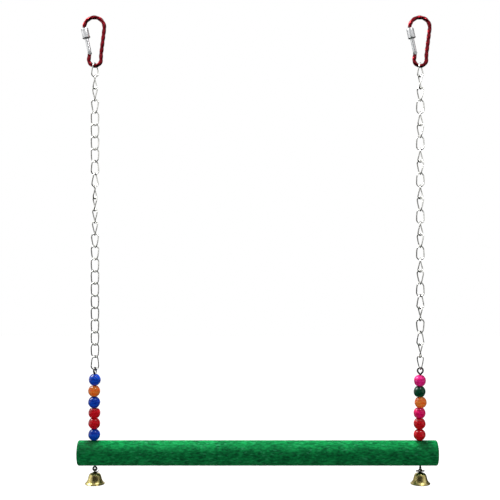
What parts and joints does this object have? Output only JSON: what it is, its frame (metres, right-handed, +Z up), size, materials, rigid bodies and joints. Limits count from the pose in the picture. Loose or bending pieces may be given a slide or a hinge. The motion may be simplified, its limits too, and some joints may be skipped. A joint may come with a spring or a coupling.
{
  "type": "bird swing",
  "caption": "Round wooden perch with beads and bells on eye pins, hung on two twisted-link chains that end in screw-lock carabiners.",
  "frame": {"origin": "midway between the two bells, at the height of their rims, the lowest point", "axes": "+X along the perch to the right, +Y away from the front, +Z up along the chains"},
  "size_m": [0.3, 0.021, 0.3917],
  "materials": {
    "perch_grit": "green mineral grit coat on wood",
    "pin_steel": "drawn steel wire",
    "bead_blue": "gloss paint",
    "bead_orange": "gloss paint",
    "bead_red": "gloss paint",
    "bead_pink": "gloss paint",
    "bead_magenta": "gloss paint",
    "bead_green": "gloss paint",
    "bell_brass": "bright plated shell",
    "bell_wire": "drawn wire",
    "chain_wire": "nickel-plated wire",
    "red_rod": "red anodised, twisted flutes",
    "gate_silver": "bright drawn",
    "nut_silver": "bright turned",
    "spring_steel": "spring wire"
  },
  "bodies": {
    "hangers": {"left_carabiner_body": "red_rod", "left_carabiner_rivet": "gate_silver", "right_carabiner_body": "red_rod", "right_carabiner_rivet": "gate_silver"},
    "left_gate": {"left_carabiner_gate": "gate_silver", "left_carabiner_plunger": "spring_steel", "left_carabiner_spring": "spring_steel"},
    "left_lock_nut": {"left_carabiner_lock_nut": "nut_silver"},
    "right_gate": {"right_carabiner_gate": "gate_silver", "right_carabiner_plunger": "spring_steel", "right_carabiner_spring": "spring_steel"},
    "right_lock_nut": {"right_carabiner_lock_nut": "nut_silver"},
    "left_link_1": {"left_chain_link_1": "chain_wire"},
    "left_link_2": {"left_chain_link_2": "chain_wire"},
    "left_run_1": {"left_chain_run_1": "chain_wire"},
    "left_run_2": {"left_chain_run_2": "chain_wire"},
    "left_run_3": {"left_chain_run_3": "chain_wire"},
    "left_run_4": {"left_chain_run_4": "chain_wire"},
    "left_run_5": {"left_chain_run_5": "chain_wire"},
    "left_run_6": {"left_chain_run_6": "chain_wire"},
    "left_run_7": {"left_chain_run_7": "chain_wire"},
    "left_link_last_but_one": {"left_chain_link_last_but_one": "chain_wire"},
    "left_link_last": {"left_chain_link_last": "chain_wire"},
    "right_link_1": {"right_chain_link_1": "chain_wire"},
    "right_link_2": {"right_chain_link_2": "chain_wire"},
    "right_run_1": {"right_chain_run_1": "chain_wire"},
    "right_run_2": {"right_chain_run_2": "chain_wire"},
    "right_run_3": {"right_chain_run_3": "chain_wire"},
    "right_run_4": {"right_chain_run_4": "chain_wire"},
    "right_run_5": {"right_chain_run_5": "chain_wire"},
    "right_run_6": {"right_chain_run_6": "chain_wire"},
    "right_run_7": {"right_chain_run_7": "chain_wire"},
    "right_link_last_but_one": {"right_chain_link_last_but_one": "chain_wire"},
    "right_link_last": {"right_chain_link_last": "chain_wire"},
    "perch": {"perch": "perch_grit", "left_eye_pin": "pin_steel", "right_eye_pin": "pin_steel"},
    "left_bead_1": {"left_bead_1": "bead_blue"},
    "left_bead_2": {"left_bead_2": "bead_red"},
    "left_bead_3": {"left_bead_3": "bead_red"},
    "left_bead_4": {"left_bead_4": "bead_blue"},
    "left_bead_5": {"left_bead_5": "bead_orange"},
    "left_bead_6": {"left_bead_6": "bead_blue"},
    "left_bell_loop": {"left_bell_loop": "bell_wire"},
    "left_bell_shell": {"left_bell_shell": "bell_brass"},
    "left_bell_clapper": {"left_bell_clapper": "bell_wire"},
    "right_bead_1": {"right_bead_1": "bead_red"},
    "right_bead_2": {"right_bead_2": "bead_red"},
    "right_bead_3": {"right_bead_3": "bead_magenta"},
    "right_bead_4": {"right_bead_4": "bead_orange"},
    "right_bead_5": {"right_bead_5": "bead_green"},
    "right_bead_6": {"right_bead_6": "bead_pink"},
    "right_bell_loop": {"right_bell_loop": "bell_wire"},
    "right_bell_shell": {"right_bell_shell": "bell_brass"},
    "right_bell_clapper": {"right_bell_clapper": "bell_wire"}
  },
  "joints": [
    {"name": "left_gate_hinge", "type": "hinge", "parent": "hangers", "child": "left_gate", "pos_m": [-0.1403, 0, 0.36033], "axis": [0, 1, 0], "range_deg": [0, 28], "stiffness_Nm_per_rad": 0.02, "springref_deg": -34.38},
    {"name": "left_nut_slide", "type": "slide", "parent": "left_gate", "child": "left_lock_nut", "axis": [-0.2111, 0, 0.9775], "range_m": [-0.006, 0.0021]},
    {"name": "right_gate_hinge", "type": "hinge", "parent": "hangers", "child": "right_gate", "pos_m": [0.1317, 0, 0.36033], "axis": [0, 1, 0], "range_deg": [0, 28], "stiffness_Nm_per_rad": 0.02, "springref_deg": -34.38},
    {"name": "right_nut_slide", "type": "slide", "parent": "right_gate", "child": "right_lock_nut", "axis": [-0.2111, 0, 0.9775], "range_m": [-0.006, 0.0021]},
    {"name": "swing", "type": "hinge", "parent": "hangers", "child": "left_link_1", "pos_m": [-0.136, 0, 0.34953], "axis": [1, 0, 0], "range_deg": [-50, 50]},
    {"name": "sway", "type": "hinge", "parent": "left_link_1", "child": "left_link_2", "pos_m": [-0.136, 0, 0.34115], "axis": [0, 1, 0], "range_deg": [-25, 25]},
    {"name": "fold_1", "type": "hinge", "parent": "left_link_2", "child": "left_run_1", "pos_m": [-0.136, 0, 0.33095], "axis": [1, 0, 0], "range_deg": [-25, 25]},
    {"name": "fold_2", "type": "hinge", "parent": "left_run_1", "child": "left_run_2", "pos_m": [-0.136, 0, 0.30035], "axis": [1, 0, 0], "range_deg": [-25, 25]},
    {"name": "fold_3", "type": "hinge", "parent": "left_run_2", "child": "left_run_3", "pos_m": [-0.136, 0, 0.26976], "axis": [1, 0, 0], "range_deg": [-25, 25]},
    {"name": "fold_4", "type": "hinge", "parent": "left_run_3", "child": "left_run_4", "pos_m": [-0.136, 0, 0.23916], "axis": [1, 0, 0], "range_deg": [-25, 25]},
    {"name": "fold_5", "type": "hinge", "parent": "left_run_4", "child": "left_run_5", "pos_m": [-0.136, 0, 0.20855], "axis": [1, 0, 0], "range_deg": [-25, 25]},
    {"name": "fold_6", "type": "hinge", "parent": "left_run_5", "child": "left_run_6", "pos_m": [-0.136, 0, 0.17796], "axis": [1, 0, 0], "range_deg": [-25, 25]},
    {"name": "fold_7", "type": "hinge", "parent": "left_run_6", "child": "left_run_7", "pos_m": [-0.136, 0, 0.14736], "axis": [1, 0, 0], "range_deg": [-25, 25]},
    {"name": "fold_8", "type": "hinge", "parent": "left_run_7", "child": "left_link_last_but_one", "pos_m": [-0.136, 0, 0.11675], "axis": [1, 0, 0], "range_deg": [-25, 25]},
    {"name": "left_level", "type": "hinge", "parent": "left_link_last_but_one", "child": "left_link_last", "pos_m": [-0.136, 0, 0.10655], "axis": [0, 1, 0], "range_deg": [-25, 25]},
    {"name": "right_swing", "type": "hinge", "parent": "hangers", "child": "right_link_1", "pos_m": [0.136, 0, 0.34953], "axis": [1, 0, 0], "range_deg": [-50, 50]},
    {"name": "right_sway", "type": "hinge", "parent": "right_link_1", "child": "right_link_2", "pos_m": [0.136, 0, 0.34115], "axis": [0, 1, 0], "range_deg": [-25, 25]},
    {"name": "right_fold_1", "type": "hinge", "parent": "right_link_2", "child": "right_run_1", "pos_m": [0.136, 0, 0.33095], "axis": [1, 0, 0], "range_deg": [-25, 25]},
    {"name": "right_fold_2", "type": "hinge", "parent": "right_run_1", "child": "right_run_2", "pos_m": [0.136, 0, 0.30035], "axis": [1, 0, 0], "range_deg": [-25, 25]},
    {"name": "right_fold_3", "type": "hinge", "parent": "right_run_2", "child": "right_run_3", "pos_m": [0.136, 0, 0.26976], "axis": [1, 0, 0], "range_deg": [-25, 25]},
    {"name": "right_fold_4", "type": "hinge", "parent": "right_run_3", "child": "right_run_4", "pos_m": [0.136, 0, 0.23916], "axis": [1, 0, 0], "range_deg": [-25, 25]},
    {"name": "right_fold_5", "type": "hinge", "parent": "right_run_4", "child": "right_run_5", "pos_m": [0.136, 0, 0.20855], "axis": [1, 0, 0], "range_deg": [-25, 25]},
    {"name": "right_fold_6", "type": "hinge", "parent": "right_run_5", "child": "right_run_6", "pos_m": [0.136, 0, 0.17796], "axis": [1, 0, 0], "range_deg": [-25, 25]},
    {"name": "right_fold_7", "type": "hinge", "parent": "right_run_6", "child": "right_run_7", "pos_m": [0.136, 0, 0.14736], "axis": [1, 0, 0], "range_deg": [-25, 25]},
    {"name": "right_fold_8", "type": "hinge", "parent": "right_run_7", "child": "right_link_last_but_one", "pos_m": [0.136, 0, 0.11675], "axis": [1, 0, 0], "range_deg": [-25, 25]},
    {"name": "right_level", "type": "hinge", "parent": "right_link_last_but_one", "child": "right_link_last", "pos_m": [0.136, 0, 0.10655], "axis": [0, 1, 0], "range_deg": [-25, 25]},
    {"name": "pitch", "type": "hinge", "parent": "left_link_last", "child": "perch", "pos_m": [-0.136, 0, 0.09635], "axis": [1, 0, 0], "range_deg": [-25, 25]},
    {"name": "left_bead_1_spin", "type": "hinge", "parent": "perch", "child": "left_bead_1", "pos_m": [-0.136, 0, 0.04129], "axis": [0, 0, 1], "continuous": true},
    {"name": "left_bead_2_spin", "type": "hinge", "parent": "perch", "child": "left_bead_2", "pos_m": [-0.136, 0, 0.05078], "axis": [0, 0, 1], "continuous": true},
    {"name": "left_bead_3_spin", "type": "hinge", "parent": "perch", "child": "left_bead_3", "pos_m": [-0.136, 0, 0.0595], "axis": [0, 0, 1], "continuous": true},
    {"name": "left_bead_4_spin", "type": "hinge", "parent": "perch", "child": "left_bead_4", "pos_m": [-0.136, 0, 0.06842], "axis": [0, 0, 1], "continuous": true},
    {"name": "left_bead_5_spin", "type": "hinge", "parent": "perch", "child": "left_bead_5", "pos_m": [-0.136, 0, 0.0778], "axis": [0, 0, 1], "continuous": true},
    {"name": "left_bead_6_spin", "type": "hinge", "parent": "perch", "child": "left_bead_6", "pos_m": [-0.136, 0, 0.08723], "axis": [0, 0, 1], "continuous": true},
    {"name": "left_bell_swing", "type": "hinge", "parent": "perch", "child": "left_bell_loop", "pos_m": [-0.136, 0, 0.0114], "axis": [1, 0, 0], "range_deg": [-50, 50]},
    {"name": "left_bell_spin", "type": "hinge", "parent": "left_bell_loop", "child": "left_bell_shell", "pos_m": [-0.136, 0, 0.0093], "axis": [0, 0, 1], "continuous": true},
    {"name": "left_clapper_swing", "type": "hinge", "parent": "left_bell_loop", "child": "left_bell_clapper", "pos_m": [-0.136, 0, 0.0065], "axis": [0, 1, 0], "range_deg": [-40, 40]},
    {"name": "right_bead_1_spin", "type": "hinge", "parent": "perch", "child": "right_bead_1", "pos_m": [0.136, 0, 0.04124], "axis": [0, 0, 1], "continuous": true},
    {"name": "right_bead_2_spin", "type": "hinge", "parent": "perch", "child": "right_bead_2", "pos_m": [0.136, 0, 0.05057], "axis": [0, 0, 1], "continuous": true},
    {"name": "right_bead_3_spin", "type": "hinge", "parent": "perch", "child": "right_bead_3", "pos_m": [0.136, 0, 0.05944], "axis": [0, 0, 1], "continuous": true},
    {"name": "right_bead_4_spin", "type": "hinge", "parent": "perch", "child": "right_bead_4", "pos_m": [0.136, 0, 0.06832], "axis": [0, 0, 1], "continuous": true},
    {"name": "right_bead_5_spin", "type": "hinge", "parent": "perch", "child": "right_bead_5", "pos_m": [0.136, 0, 0.07729], "axis": [0, 0, 1], "continuous": true},
    {"name": "right_bead_6_spin", "type": "hinge", "parent": "perch", "child": "right_bead_6", "pos_m": [0.136, 0, 0.08637], "axis": [0, 0, 1], "continuous": true},
    {"name": "right_bell_swing", "type": "hinge", "parent": "perch", "child": "right_bell_loop", "pos_m": [0.136, 0, 0.0114], "axis": [0, 1, 0], "range_deg": [-50, 50]},
    {"name": "right_bell_spin", "type": "hinge", "parent": "right_bell_loop", "child": "right_bell_shell", "pos_m": [0.136, 0, 0.0093], "axis": [0, 0, 1], "continuous": true},
    {"name": "right_clapper_swing", "type": "hinge", "parent": "right_bell_loop", "child": "right_bell_clapper", "pos_m": [0.136, 0, 0.0065], "axis": [1, 0, 0], "range_deg": [-40, 40]}
  ],
  "couplings": [
    {"joint": "left_level", "follows": "sway", "ratio": -1},
    {"joint": "right_swing", "follows": "swing", "ratio": 1},
    {"joint": "right_sway", "follows": "sway", "ratio": 1},
    {"joint": "right_fold_1", "follows": "fold_1", "ratio": 1},
    {"joint": "right_fold_2", "follows": "fold_2", "ratio": 1},
    {"joint": "right_fold_3", "follows": "fold_3", "ratio": 1},
    {"joint": "right_fold_4", "follows": "fold_4", "ratio": 1},
    {"joint": "right_fold_5", "follows": "fold_5", "ratio": 1},
    {"joint": "right_fold_6", "follows": "fold_6", "ratio": 1},
    {"joint": "right_fold_7", "follows": "fold_7", "ratio": 1},
    {"joint": "right_fold_8", "follows": "fold_8", "ratio": 1},
    {"joint": "right_level", "follows": "sway", "ratio": -1}
  ]
}
